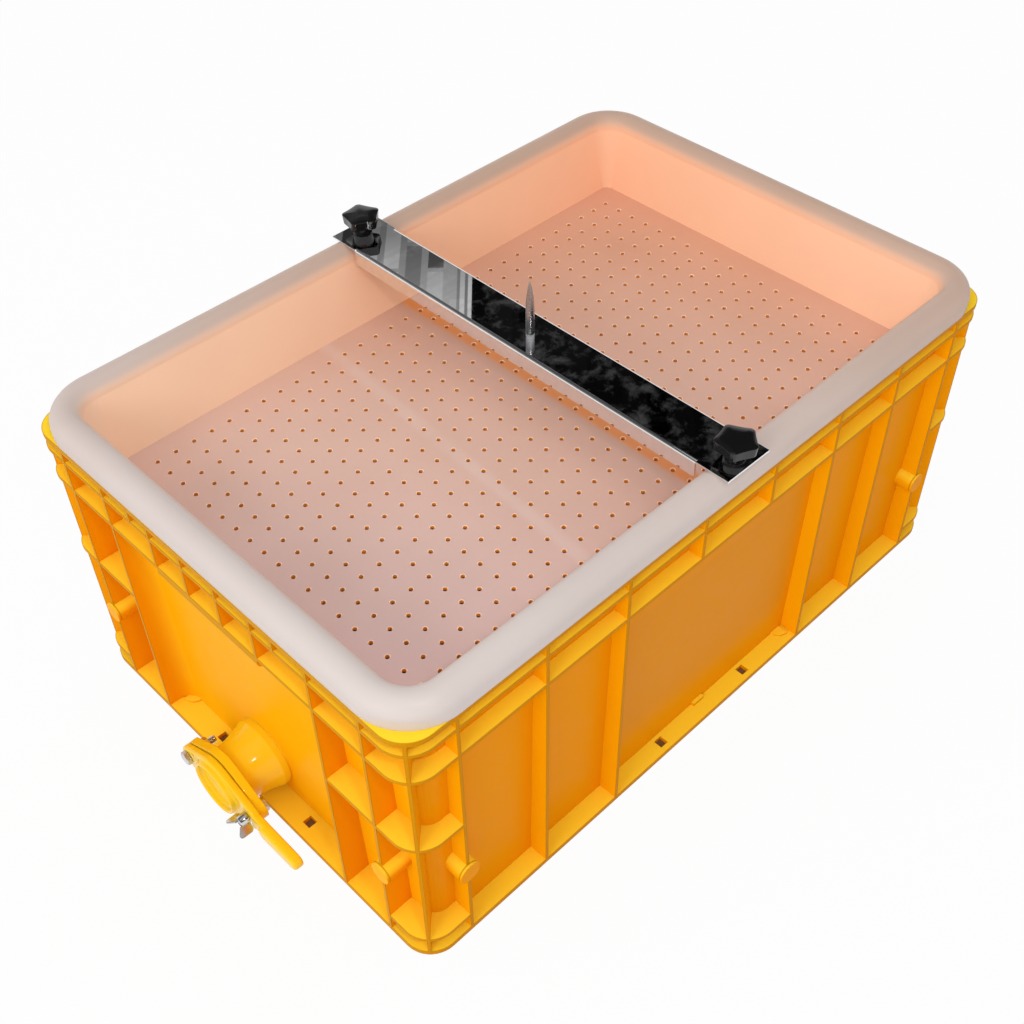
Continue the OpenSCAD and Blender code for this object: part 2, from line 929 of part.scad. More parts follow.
module gate_pivot_bolt() {
    back = gate_len - gate_flange_t - hex_nut_h - 6;
    head = blade_z1 + face_gap;
    color("silver")
        on_gate()
            translate([0, lug_reach, 0]) {
                translate([0, 0, head])
                    hexagon(gate_hex, hex_head_h);
                translate([0, 0, back])
                    cylinder(d = gate_bolt_d, h = head - back);
            }
}

// nut against the back of a lug
module lug_nut() {
    translate([0, 0, gate_len - gate_flange_t - hex_nut_h])
        difference() {
            hexagon(gate_hex, hex_nut_h);
            translate([0, 0, -cut])
                cylinder(d = gate_bolt_d + 2 * run_fit, h = hex_nut_h + 2 * cut);
        }
}

module gate_pivot_nut() {
    color("lightgray")
        on_gate()
            translate([0, lug_reach, 0])
                lug_nut();
}

module gate_clamp_stud() {
    head = gate_len - gate_flange_t - hex_head_h;
    color("silver")
        on_gate()
            translate([0, -lug_reach, 0]) {
                translate([0, 0, head])
                    hexagon(gate_hex, hex_head_h);
                translate([0, 0, head + hex_head_h])
                    cylinder(d = gate_bolt_d, h = blade_z1 + wing_hub_h - head - hex_head_h);
            }
}

// one wing: x runs outward from the stud's axis, y up from the foot
module wing_outline() {
    polygon([
        [0, 0], [0.6 * wing_reach, 0], [0.9 * wing_reach, 0.2 * wing_tip_h],
        [wing_reach, 0.6 * wing_tip_h], [0.96 * wing_reach, 0.9 * wing_tip_h],
        [0.82 * wing_reach, wing_tip_h], [0.68 * wing_reach, 0.96 * wing_tip_h],
        [0.3 * wing_reach, wing_fold_h], [0, wing_fold_h]
    ]);
}

module gate_wing_nut() {
    color("lightsteelblue")
        on_gate()
            translate([0, -lug_reach, blade_z1 + face_gap])
                difference() {
                    union() {
                        cylinder(d = wing_hub_d, h = wing_hub_h);
                        for (i = [0, 1])
                            mirror([0, i, 0])
                                rotate([90, 0, 90 + wing_droop])
                                    translate([0, 0, -wing_t / 2])
                                        linear_extrude(wing_t)
                                            wing_outline();
                    }
                    translate([0, 0, -cut])
                        cylinder(d = gate_bolt_d + 2 * run_fit, h = wing_hub_h + cut);
                }
}

crate();
tray_shell();
tray_floor();
crossbar();
spike();
spike_nut();
knob_left();
knob_right();
knob_stud_left();
knob_stud_right();
clamp_nut_left();
clamp_nut_right();
gate_body();
gate_gasket();
gate_back_nut();
gate_blade();
gate_pivot_bolt();
gate_pivot_nut();
gate_clamp_stud();
gate_wing_nut();
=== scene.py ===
import bpy
import bmesh
import math
from mathutils import Matrix, Vector


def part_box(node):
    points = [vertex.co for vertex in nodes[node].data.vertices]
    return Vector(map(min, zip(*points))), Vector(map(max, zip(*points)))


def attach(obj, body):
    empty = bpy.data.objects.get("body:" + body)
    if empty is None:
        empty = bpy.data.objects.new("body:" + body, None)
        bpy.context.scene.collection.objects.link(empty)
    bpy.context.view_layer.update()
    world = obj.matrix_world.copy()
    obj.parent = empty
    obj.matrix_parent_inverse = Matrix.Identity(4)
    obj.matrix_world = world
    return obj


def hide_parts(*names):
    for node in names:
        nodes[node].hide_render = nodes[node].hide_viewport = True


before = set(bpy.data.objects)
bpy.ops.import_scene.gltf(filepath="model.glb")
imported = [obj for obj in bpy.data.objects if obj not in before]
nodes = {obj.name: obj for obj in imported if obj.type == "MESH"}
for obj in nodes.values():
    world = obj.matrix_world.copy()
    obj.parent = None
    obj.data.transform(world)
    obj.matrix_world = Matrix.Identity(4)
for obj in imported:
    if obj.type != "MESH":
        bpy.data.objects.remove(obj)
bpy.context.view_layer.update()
bpy.context.scene.view_settings.view_transform = "Standard"
print("frame loaded:", len(nodes), "nodes")

lipRound = 0.025             # radius of the crate's corners
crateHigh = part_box("crate")[1]
cornerMiddles = (crateHigh.x - lipRound, crateHigh.y - lipRound)


# camera, at the photograph's own viewpoint

cameraSettings = {
    "place": (-0.54478, -0.54905, 0.86446),
    "heading": 46.4167,      # degrees from +X towards +Y
    "tilt": 45.1572,         # degrees below the horizon
    "roll": -1.2584,         # degrees that it is turned anticlockwise
    "lens": 46.739,          # focal length in millimetres
    "sensor": 36.0,          # width in millimetres
    "clip": (0.01, 50),
}


def makeCamera(settings):
    heading = math.radians(settings["heading"])
    tilt = math.radians(settings["tilt"])
    roll = math.radians(settings["roll"])
    forward = Vector((
        math.cos(tilt) * math.cos(heading),
        math.cos(tilt) * math.sin(heading),
        -math.sin(tilt),
    ))
    right = forward.cross(Vector((0, 0, 1))).normalized()
    up = right.cross(forward)
    axisX = math.cos(roll) * right + math.sin(roll) * up
    axisY = -math.sin(roll) * right + math.cos(roll) * up
    data = bpy.data.cameras.new("camera")
    data.lens = settings["lens"]
    data.sensor_width = settings["sensor"]
    data.clip_start, data.clip_end = settings["clip"]
    camera = bpy.data.objects.new("camera", data)
    bpy.context.scene.collection.objects.link(camera)
    turn = Matrix((axisX, axisY, -forward)).transposed()
    camera.matrix_world = Matrix.Translation(settings["place"]) @ turn.to_4x4()
    bpy.context.scene.camera = camera


# node helpers

def newMaterial(name):
    material = bpy.data.materials.new(name)
    material.use_nodes = True
    tree = material.node_tree
    return material, tree, tree.nodes["Principled BSDF"]


def addSplit(tree, vector):
    split = tree.nodes.new("ShaderNodeSeparateXYZ")
    tree.links.new(vector, split.inputs[0])
    return split.outputs["X"], split.outputs["Y"], split.outputs["Z"]


def addPlace(tree):
    # the surface point's X, Y and Z, in metres
    coords = tree.nodes.new("ShaderNodeTexCoord")
    return addSplit(tree, coords.outputs["Object"])


def addTexture(tree, kind, vector, values):
    texture = tree.nodes.new(kind)
    for socket, value in values.items():
        texture.inputs[socket].default_value = value
    tree.links.new(vector, texture.inputs["Vector"])
    return texture


def addNoise(tree, scale, detail=3.0, stretch=(1, 1, 1)):
    coords = tree.nodes.new("ShaderNodeTexCoord")
    mapping = tree.nodes.new("ShaderNodeMapping")
    mapping.inputs["Scale"].default_value = stretch
    tree.links.new(coords.outputs["Object"], mapping.inputs["Vector"])
    values = {"Scale": scale, "Detail": detail}
    return addTexture(tree, "ShaderNodeTexNoise", mapping.outputs[0], values).outputs["Fac"]


def addMaths(tree, operation, *values):
    node = tree.nodes.new("ShaderNodeMath")
    node.operation = operation
    for socket, value in zip(node.inputs, values):
        if isinstance(value, (int, float)):
            socket.default_value = value
        else:
            tree.links.new(value, socket)
    return node.outputs[0]


def addVectorMaths(tree, operation, *sources):
    node = tree.nodes.new("ShaderNodeVectorMath")
    node.operation = operation
    for socket, source in zip(node.inputs, sources):
        tree.links.new(source, socket)
    return node.outputs[0]


def addRange(tree, source, low, high, fromLow=0.3, fromHigh=0.7, smooth=False):
    # most of a noise lies from 0.3 to 0.7
    ramp = tree.nodes.new("ShaderNodeMapRange")
    ramp.interpolation_type = "SMOOTHSTEP" if smooth else "LINEAR"
    ramp.inputs["From Min"].default_value = fromLow
    ramp.inputs["From Max"].default_value = fromHigh
    ramp.inputs["To Min"].default_value = low
    ramp.inputs["To Max"].default_value = high
    tree.links.new(source, ramp.inputs["Value"])
    return ramp.outputs["Result"]


def addBand(tree, source, rise, fall, share=1, smooth=False):
    # up to the share over the first span, and down to 0 over the second
    return addMaths(tree, "MULTIPLY",
                    addRange(tree, source, 0, share, *rise, smooth),
                    addRange(tree, source, 1, 0, *fall, smooth))


def addRamp(tree, place, stops, kind="LINEAR"):
    # grey, by stops of (place, brightness)
    ramp = tree.nodes.new("ShaderNodeValToRGB")
    ramp.color_ramp.interpolation = kind
    elements = ramp.color_ramp.elements
    while len(elements) < len(stops):
        elements.new(1.0)
    for element, (position, value) in zip(elements, stops):
        element.position = position
        element.color = (value, value, value, 1)
    tree.links.new(place, ramp.inputs[0])
    return ramp.outputs["Color"]


def addMix(tree, factor, first, second, blend="MIX"):
    mix = tree.nodes.new("ShaderNodeMix")
    mix.data_type = "RGBA"
    mix.blend_type = blend
    # a colour mix takes its factor at socket 0 and its colours at 6 and 7
    for socket, value in ((0, factor), (6, first), (7, second)):
        if isinstance(value, tuple):
            mix.inputs[socket].default_value = (*value, 1)
        elif isinstance(value, float):
            mix.inputs[socket].default_value = value
        else:
            tree.links.new(value, mix.inputs[socket])
    return mix.outputs[2]


def addMixShader(tree, factor, first, second):
    mix = tree.nodes.new("ShaderNodeMixShader")
    for socket, value in zip(mix.inputs, (factor, first, second)):
        tree.links.new(value, socket)
    return mix.outputs[0]


def addReach(tree, x, y, core):
    # distance beyond a rectangle of corner centres
    beyond = []
    for value, limit in zip((x, y), core):
        over = addMaths(tree, "SUBTRACT", addMaths(tree, "ABSOLUTE", value), limit)
        clear = addMaths(tree, "MAXIMUM", over, 0.0)
        beyond.append(addMaths(tree, "MULTIPLY", clear, clear))
    return addMaths(tree, "SQRT", addMaths(tree, "ADD", *beyond))


def addBump(tree, shader, height, strength, distance, roundEdge):
    bump = tree.nodes.new("ShaderNodeBump")
    bump.inputs["Strength"].default_value = strength
    bump.inputs["Distance"].default_value = distance
    tree.links.new(height, bump.inputs["Height"])
    if roundEdge:
        bevel = tree.nodes.new("ShaderNodeBevel")
        bevel.samples = 6
        bevel.inputs["Radius"].default_value = roundEdge
        tree.links.new(bevel.outputs[0], bump.inputs["Normal"])
    tree.links.new(bump.outputs[0], shader.inputs["Normal"])


# floor, world and lamps

studio = {
    "white": (1.0, 1.0, 1.0),
    "floorSize": 12.0,
    "floorColour": (0.80, 0.80, 0.80),
    "floorShadeUnder": (0.20, 0.12, 0.06),     # painted shade: dark brown floor under the crate, so that no white shows in the gaps at its foot
    "footprintEdge": (0.0190, 0.0225),    # where that ends, beyond the middles of the crate's corners
    "floorWhite": 0.95,                   # share of plain white in what the camera and reflections see
    # brightness by the sine of the elevation: the soft light on the object, with more of it from -X
    "soft": ((0.0, 0.69), (1.0, 0.66)),
    "leftGain": 0.55,
    # the same for the room that reflections show: a pale sweep under a dark ceiling
    "room": (
        (0.0, 1.0), (0.40, 0.90), (0.48, 0.24), (0.545, 0.16),
        (0.585, 0.48), (0.61, 0.50), (0.64, 0.20), (1.0, 0.010),
    ),
    # a pattern on it, by the sine again: panels, and on the ceiling stripes and folds
    "patternLowest": 0.05,
    "patternFrom": (0.43, 0.48),
    "ceilingFrom": (0.50, 0.53),
    "patternTurn": -46.0,
    "panels": {
        "Scale": 7.5, "Brick Width": 0.9, "Row Height": 0.22, "Mortar Size": 0.035, "Mortar Smooth": 0.1,
    },
    "panelShades": (0.16, 1.30, 0.75),    # the two kinds of panel, and the gaps between them
    # the stripes' places across the ceiling and their gains, of which the first is its wide dark part
    "stripeSpan": (0.0, 0.1),
    "stripes": ((0.0, 0.015), (0.55, 1.5), (0.60, 0.5), (0.64, 1.3), (0.70, 0.6), (0.74, 1.0)),
    "folds": {"Scale": 34.0, "Detail": 9, "Roughness": 0.72, "Distortion": 0.4},
    "foldSpan": (0.50, 0.74),
    "foldLight": 0.08,
    "lampAim": (0, 0, 0.15),
    "lamps": {
        # place, size, power, and whether it shines in glossy surfaces
        "overhead": ((-0.35, -0.10, 2.30), 2.0, 5.0, True),
        "leftSide": ((-2.10, -0.60, 1.40), 1.0, 12.0, False),
        "glint": ((-0.46, -0.68, 1.05), 0.08, 1.5, True),
    },
}


def addPattern(tree, settings, direction, elevation, sweep):
    # drawn on a level plane overhead, so that its straight lines stay straight in the mirror
    height = addMaths(tree, "MAXIMUM", elevation, settings["patternLowest"])
    overhead = addRange(tree, height, 0, 1, *settings["ceilingFrom"])
    flat = addVectorMaths(tree, "DIVIDE", direction, height)
    turn = tree.nodes.new("ShaderNodeMapping")
    turn.inputs["Rotation"].default_value = (0, 0, math.radians(settings["patternTurn"]))
    tree.links.new(flat, turn.inputs["Vector"])
    panels = addTexture(tree, "ShaderNodeTexBrick", turn.outputs[0], settings["panels"])
    for socket, shade in zip(("Color1", "Color2", "Mortar"), settings["panelShades"]):
        panels.inputs[socket].default_value = (shade, shade, shade, 1)
    across = addSplit(tree, turn.outputs[0])[1]
    along = addRange(tree, across, 0, 1, *settings["stripeSpan"])
    stripes = addRamp(tree, along, settings["stripes"], "CONSTANT")
    gain = addMaths(tree, "MULTIPLY_ADD", addMaths(tree, "SUBTRACT", stripes, 1.0), overhead, 1.0)
    lit = addVectorMaths(tree, "MULTIPLY", panels.outputs["Color"], gain)
    begun = addRange(tree, height, 0, 1, *settings["patternFrom"])
    patterned = addMix(tree, begun, settings["white"], lit)
    folds = addTexture(tree, "ShaderNodeTexNoise", flat, settings["folds"]).outputs["Fac"]
    foldLight = addRange(tree, folds, 0, settings["foldLight"], *settings["foldSpan"])
    added = addMaths(tree, "MULTIPLY", foldLight, overhead)
    return addVectorMaths(tree, "MULTIPLY_ADD", sweep, patterned, added)


def addSeenRays(tree):
    # 1 for what the camera sees, straight, in a reflection or through a surface, and 0 for other light
    path = tree.nodes.new("ShaderNodeLightPath")
    seen = addMaths(tree, "MAXIMUM", path.outputs["Is Camera Ray"], path.outputs["Is Glossy Ray"])
    return addMaths(tree, "MAXIMUM", seen, path.outputs["Is Transmission Ray"])


def makeWorld(settings):
    world = bpy.data.worlds.new("studio")
    bpy.context.scene.world = world
    world.use_nodes = True
    tree = world.node_tree
    tree.nodes.clear()
    soft = tree.nodes.new("ShaderNodeBackground")
    room = tree.nodes.new("ShaderNodeBackground")
    plain = tree.nodes.new("ShaderNodeBackground")
    coords = tree.nodes.new("ShaderNodeTexCoord")
    direction = coords.outputs["Generated"]
    x, y, z = addSplit(tree, direction)
    tree.links.new(addRamp(tree, z, settings["soft"]), soft.inputs["Color"])
    left = addRange(tree, x, 1.0, 1.0 + settings["leftGain"], 0.0, -1.0)
    tree.links.new(left, soft.inputs["Strength"])
    sweep = addRamp(tree, z, settings["room"])
    tree.links.new(addPattern(tree, settings, direction, z, sweep), room.inputs["Color"])
    plain.inputs["Color"].default_value = (*settings["white"], 1)
    reflected = addMixShader(tree, addSeenRays(tree), soft.outputs[0], room.outputs[0])
    path = tree.nodes.new("ShaderNodeLightPath")
    shown = addMixShader(tree, path.outputs["Is Camera Ray"], reflected, plain.outputs[0])
    out = tree.nodes.new("ShaderNodeOutputWorld")
    tree.links.new(shown, out.inputs["Surface"])


def makeLamp(name, place, size, power, shines):
    data = bpy.data.lights.new(name, "AREA")
    data.shape = "DISK"
    data.size = size
    data.energy = power
    lamp = bpy.data.objects.new(name, data)
    bpy.context.scene.collection.objects.link(lamp)
    lamp.location = place
    lamp.visible_glossy = shines
    aim = Vector(studio["lampAim"]) - Vector(place)
    lamp.rotation_euler = aim.to_track_quat("-Z", "Y").to_euler()


def makeFloor(settings):
    bpy.ops.object.select_all(action="DESELECT")
    bpy.ops.mesh.primitive_plane_add(size=settings["floorSize"], location=(0, 0, 0))
    floor = bpy.context.object
    floor.name = "floor"
    material = bpy.data.materials.new("paleFloor")
    material.use_nodes = True
    tree = material.node_tree
    tree.nodes.clear()
    paper = tree.nodes.new("ShaderNodeBsdfDiffuse")
    plain = tree.nodes.new("ShaderNodeEmission")
    plain.inputs["Color"].default_value = (*settings["white"], 1)
    surface = tree.nodes.new("ShaderNodeNewGeometry")
    x, y = addPlace(tree)[:2]
    beyond = addRange(tree, addReach(tree, x, y, cornerMiddles), 0, 1, *settings["footprintEdge"])
    outside = addMaths(tree, "MAXIMUM", beyond, surface.outputs["Backfacing"])
    # painted shade: the floor turns dark brown under the crate's footprint
    colour = addMix(tree, outside, settings["floorShadeUnder"], settings["floorColour"])
    tree.links.new(colour, paper.inputs["Color"])
    share = addMaths(tree, "MULTIPLY", addSeenRays(tree), settings["floorWhite"])
    whiteness = addMaths(tree, "MULTIPLY", outside, share)
    shown = addMixShader(tree, whiteness, paper.outputs[0], plain.outputs[0])
    out = tree.nodes.new("ShaderNodeOutputMaterial")
    tree.links.new(shown, out.inputs["Surface"])
    floor.data.materials.append(material)


makeCamera(cameraSettings)
makeWorld(studio)
makeFloor(studio)
for lampName, lampValues in studio["lamps"].items():
    makeLamp(lampName, *lampValues)
print("studio ready")


# painted light and shade in the plastics' colours, more in some places than in others: sides lit or shaded
# by the way they face, light coming through the plastics, dark rib edges and a shadow, and a pale line on
# the tray's floor

amberLightAndShade = {
    "front": (0.84, 0.29, 0.001),         # painted shade: faces that look along -Y, darker and redder
    "frontShare": 0.9,
    "frontNormal": (-0.95, -0.3),         # Y of the normal, where the tint is full and gone
    "upward": (1.0, 0.67, 0.030),         # painted light: faces that look up, lighter and yellower
    "upwardNormal": (0.2, 0.8),           # Z of the normal, where the tint starts and is full
    "glimpse": (0.62, 0.24, 0.030),       # painted see-through: the tray, faintly seen through the middle panels, as a darker patch
    "glimpseShare": 0.35,
    "glimpseX": (0.095, 0.110),           # to either side of the middle, where it is full and gone
    "glimpseRise": (0.02, 0.06),          # heights
    "glimpseFall": (0.17, 0.20),
    "edge": (0.50, 0.21, 0.001),          # painted shade: dark lines on the thin outer edges of the ribs
    "edgeShare": 0.70,
    "edgeRise": (0.0222, 0.0227),         # beyond the middles of the crate's corners
    "edgeFall": (0.0234, 0.0238),
}

trayLightShadeAndLine = {
    # slope and offset of a measure, about 0 at the tray's near corner, 0.6 in its middle and 1.3 at its
    # far corner, by which the spans below say where one colour turns into the next
    "awayX": (1.6, 0.40),
    "awayY": (1.2, 0.18),
    # painted light: the crate's amber light coming through the white tray, pale at the near corner and
    # warmer and darker towards the far corner, on the rim, the well and the floor
    "rimNear": (0.66, 0.58, 0.55),
    "rimFar": (0.56, 0.38, 0.29),
    "rimSpan": (0, 1),
    "wellNear": (1.0, 0.69, 0.49),
    "wellFar": (1.0, 0.56, 0.35),
    "wellSpan": (0.3, 1.2),
    "wellWithin": (0.0215, 0.0175),       # from the rim's outer line
    "wellBelow": (0.0005, 0.0125),        # from the rim's top
    "floorNear": (0.67, 0.48, 0.46),
    "floorMiddle": (0.75, 0.49, 0.40),
    "floorFar": (0.74, 0.38, 0.25),
    "floorNearSpan": (0.0, 0.5),
    "floorFarSpan": (0.4, 1.1),
    "hole": (1.0, 0.38, 0.04),            # painted light: amber light on the walls of the holes, as from the crate below
    "holeRise": (0.0, 0.0002),            # from the sheet's underside
    "holeFall": (0.0004, 0.0001),         # from its top
    "barShade": (0.90, 0.31, 0.065),      # the strip under the crossbar
    "barShadeMiddle": 0.019,              # its X
    "barShadeSpan": (0.003, 0.010),       # from there, where the tint is full and gone
    "barShadeShare": 0.85,
    "streak": (0.86, 0.74, 0.70),         # a pale line across the sheet
    "streakAt": (-0.075, 0.081),          # slope and offset: x + slope * y + offset is 0 on it
    "streakSpan": (0.001, 0.009),
    "streakShare": 0.24,
    "streakBreakup": (26, 0.4),              # scale of the noise that breaks it up, and the least it leaves
}


# painted light and shade on the crate: lighter tops, darker -Y faces, a darker patch where the tray shows
# through, and dark rib edges
def paintAmberLightAndShade(tree, colour):
    x, y, z = addPlace(tree)
    surface = tree.nodes.new("ShaderNodeNewGeometry")
    normal = addSplit(tree, surface.outputs["True Normal"])
    front = addRange(tree, normal[1], amberLightAndShade["frontShare"], 0, *amberLightAndShade["frontNormal"])
    upward = addRange(tree, normal[2], 0, 1, *amberLightAndShade["upwardNormal"])
    middle = addRange(tree, addMaths(tree, "ABSOLUTE", x), 1, 0, *amberLightAndShade["glimpseX"], True)
    height = addBand(tree, z, amberLightAndShade["glimpseRise"], amberLightAndShade["glimpseFall"], smooth=True)
    panel = addMaths(tree, "MULTIPLY", middle, height)
    glimpse = addMaths(tree, "MULTIPLY", panel, amberLightAndShade["glimpseShare"])
    reach = addReach(tree, x, y, cornerMiddles)
    edge = addBand(tree, reach, amberLightAndShade["edgeRise"], amberLightAndShade["edgeFall"], amberLightAndShade["edgeShare"])
    for name, share in (("front", front), ("upward", upward), ("glimpse", glimpse), ("edge", edge)):
        colour = addMix(tree, share, colour, amberLightAndShade[name])
    return colour


def addAway(tree, x, y):
    along = addMaths(tree, "MULTIPLY_ADD", x, *trayLightShadeAndLine["awayX"])
    across = addMaths(tree, "MULTIPLY_ADD", y, *trayLightShadeAndLine["awayY"])
    return addMaths(tree, "ADD", along, across)


def addShift(tree, away, span, near, far):
    return addMix(tree, addRange(tree, away, 0, 1, *span, True), near, far)


# painted light: the crate's amber light coming through the tray's rim and well
def paintTrayLight(tree, colour):
    x, y, z = addPlace(tree)
    away = addAway(tree, x, y)
    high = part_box("tray_shell")[1]
    sides = []
    for value, outer in ((x, high.x), (y, high.y)):
        span = [outer - inset for inset in trayLightShadeAndLine["wellWithin"]]
        sides.append(addRange(tree, addMaths(tree, "ABSOLUTE", value), 1, 0, *span))
    depths = [high.z - depth for depth in trayLightShadeAndLine["wellBelow"]]
    inside = addMaths(tree, "MULTIPLY", *sides)
    well = addMaths(tree, "MULTIPLY", inside, addRange(tree, z, 0, 1, *depths, True))
    rim = addShift(tree, away, trayLightShadeAndLine["rimSpan"], trayLightShadeAndLine["rimNear"], trayLightShadeAndLine["rimFar"])
    inner = addShift(tree, away, trayLightShadeAndLine["wellSpan"], trayLightShadeAndLine["wellNear"], trayLightShadeAndLine["wellFar"])
    return addMix(tree, 1.0, colour, addMix(tree, well, rim, inner), "MULTIPLY")


# painted light and shadow on the tray's floor: amber light through it, the crossbar's shadow and amber
# light in the holes, with a pale line across it
def paintTrayLightFloor(tree, colour):
    x, y, z = addPlace(tree)
    away = addAway(tree, x, y)
    low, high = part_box("tray_floor")
    near = addShift(tree, away, trayLightShadeAndLine["floorNearSpan"], trayLightShadeAndLine["floorNear"], trayLightShadeAndLine["floorMiddle"])
    floor = addShift(tree, away, trayLightShadeAndLine["floorFarSpan"], near, trayLightShadeAndLine["floorFar"])
    off = addMaths(tree, "ABSOLUTE", addMaths(tree, "SUBTRACT", x, trayLightShadeAndLine["barShadeMiddle"]))
    shade = addRange(tree, off, trayLightShadeAndLine["barShadeShare"], 0, *trayLightShadeAndLine["barShadeSpan"], True)
    floor = addMix(tree, shade, floor, trayLightShadeAndLine["barShade"])
    line = addMaths(tree, "ADD", x, addMaths(tree, "MULTIPLY_ADD", y, *trayLightShadeAndLine["streakAt"]))
    beside = addMaths(tree, "ABSOLUTE", line)
    lineShare = addRange(tree, beside, trayLightShadeAndLine["streakShare"], 0, *trayLightShadeAndLine["streakSpan"], True)
    scale, least = trayLightShadeAndLine["streakBreakup"]
    streak = addMaths(tree, "MULTIPLY", lineShare, addRange(tree, addNoise(tree, scale), least, 1))
    floor = addMix(tree, streak, floor, trayLightShadeAndLine["streak"])
    # painted amber light on the walls of the holes
    foot = [low.z + rise for rise in trayLightShadeAndLine["holeRise"]]
    mouth = [high.z - depth for depth in trayLightShadeAndLine["holeFall"]]
    floor = addMix(tree, addBand(tree, z, foot, mouth), floor, trayLightShadeAndLine["hole"])
    return addMix(tree, 1.0, colour, floor, "MULTIPLY")


# plastics and metals

finishScales = {
    # scale of the noise, and its detail
    "cloud": (9, 3),
    "polish": (60, 3),
    "mouldGrain": (900, 2),
    "streaks": (220, 4),
    "steelGrain": (500, 3),
    # depth of the grain, in metres
    "mouldDepth": 0.0002,
    "steelDepth": 0.0001,
}


def makePlastic(name, light, deep, rough, grain, roundEdge, gloss=0.5, paintedLight=None):
    material, tree, shader = newMaterial(name)
    shader.inputs["Specular IOR Level"].default_value = gloss
    cloud = addRange(tree, addNoise(tree, *finishScales["cloud"]), 0, 1)
    colour = addMix(tree, cloud, light, deep)
    if paintedLight:
        colour = paintedLight(tree, colour)
    tree.links.new(colour, shader.inputs["Base Color"])
    polish = addRange(tree, addNoise(tree, *finishScales["polish"]), *rough)
    tree.links.new(polish, shader.inputs["Roughness"])
    mould = addNoise(tree, *finishScales["mouldGrain"])
    addBump(tree, shader, mould, grain, finishScales["mouldDepth"], roundEdge)
    return material


def makeMetal(name, light, dark, rough, stretch, roundEdge, grain=0.05):
    material, tree, shader = newMaterial(name)
    shader.inputs["Metallic"].default_value = 1.0
    streak = addRange(tree, addNoise(tree, *finishScales["streaks"], stretch), 0, 1)
    tree.links.new(addMix(tree, streak, light, dark), shader.inputs["Base Color"])
    tree.links.new(addRange(tree, streak, *rough, 0, 1), shader.inputs["Roughness"])
    steel = addNoise(tree, *finishScales["steelGrain"], stretch)
    addBump(tree, shader, steel, grain, finishScales["steelDepth"], roundEdge)
    return material


plastics = {
    "amber": {
        "name": "amberPlastic", "light": (0.98, 0.455, 0.002), "deep": (0.95, 0.42, 0.001),
        "rough": (0.32, 0.42), "grain": 0.08, "roundEdge": 0.0006, "gloss": 0.02, "paintedLight": paintAmberLightAndShade,
    },
    "tray": {
        "name": "whitePlastic", "light": (1.0, 1.0, 1.0), "deep": (0.95, 0.94, 0.93),
        "rough": (0.34, 0.46), "grain": 0.10, "roundEdge": 0.0008, "gloss": 0.4, "paintedLight": paintTrayLight,
    },
    "trayFloor": {
        "name": "whitePlasticFloor", "light": (1.0, 1.0, 1.0), "deep": (0.94, 0.92, 0.90),
        "rough": (0.32, 0.44), "grain": 0.12, "roundEdge": 0.0003, "gloss": 0.4, "paintedLight": paintTrayLightFloor,
    },
    "black": {
        "name": "blackPlastic", "light": (0.006, 0.006, 0.006), "deep": (0.010, 0.009, 0.009),
        "rough": (0.08, 0.15), "grain": 0.06, "roundEdge": 0.0006,
    },
    "yellow": {
        "name": "yellowPlastic", "light": (0.94, 0.61, 0.012), "deep": (0.90, 0.54, 0.007),
        "rough": (0.10, 0.17), "grain": 0.05, "roundEdge": 0.0012, "gloss": 0.25,
    },
    # partly painted highlight: paler than the tray's floor, so that the raised rims read as glints above
    # the holes
    "burr": {
        "name": "burrPlastic", "light": (1.0, 0.78, 0.62), "deep": (0.97, 0.70, 0.54),
        "rough": (0.22, 0.32), "grain": 0.10, "roundEdge": 0.0,
    },
    "rubber": {
        "name": "gasketRubber", "light": (0.03, 0.03, 0.03), "deep": (0.05, 0.05, 0.05),
        "rough": (0.7, 0.85), "grain": 0.3, "roundEdge": 0.0004,
    },
}

metals = {
    "mirror": {
        "name": "mirrorSteel", "light": (0.86, 0.86, 0.87), "dark": (0.80, 0.80, 0.81),
        "rough": (0.004, 0.018), "stretch": (0.1, 1, 1), "roundEdge": 0.0003, "grain": 0.002,
    },
    "turned": {
        "name": "turnedSteel", "light": (0.50, 0.50, 0.51), "dark": (0.38, 0.38, 0.39),
        "rough": (0.22, 0.34), "stretch": (0.1, 0.1, 3), "roundEdge": 0.0002,
    },
    "pressed": {
        "name": "pressedSteel", "light": (0.74, 0.73, 0.71), "dark": (0.60, 0.59, 0.57),
        "rough": (0.12, 0.24), "stretch": (1, 1, 1), "roundEdge": 0.0003,
    },
    "bolt": {
        "name": "boltSteel", "light": (0.66, 0.66, 0.66), "dark": (0.52, 0.52, 0.52),
        "rough": (0.18, 0.34), "stretch": (1, 1, 1), "roundEdge": 0.0003,
    },
}

nodeFinishes = {
    "crate": "amber",
    "tray_shell": "tray",
    "tray_floor": "trayFloor",
    "crossbar": "mirror",
    "spike": "turned",
    "spike_nut": "bolt",
    "knob_left": "black",
    "knob_right": "black",
    "knob_stud_left": "bolt",
    "knob_stud_right": "bolt",
    "clamp_nut_left": "bolt",
    "clamp_nut_right": "bolt",
    "gate_body": "yellow",
    "gate_gasket": "rubber",
    "gate_back_nut": "yellow",
    "gate_blade": "yellow",
    "gate_pivot_bolt": "bolt",
    "gate_pivot_nut": "bolt",
    "gate_clamp_stud": "bolt",
    "gate_wing_nut": "pressed",
}

materials = {finish: makePlastic(**values) for finish, values in plastics.items()}
for finish, values in metals.items():
    materials[finish] = makeMetal(**values)
for nodeName, finish in nodeFinishes.items():
    for materialSlot in nodes[nodeName].material_slots:
        materialSlot.material = materials[finish]
print("materials ready:", len(materials))


# modelling steps that the pieces share

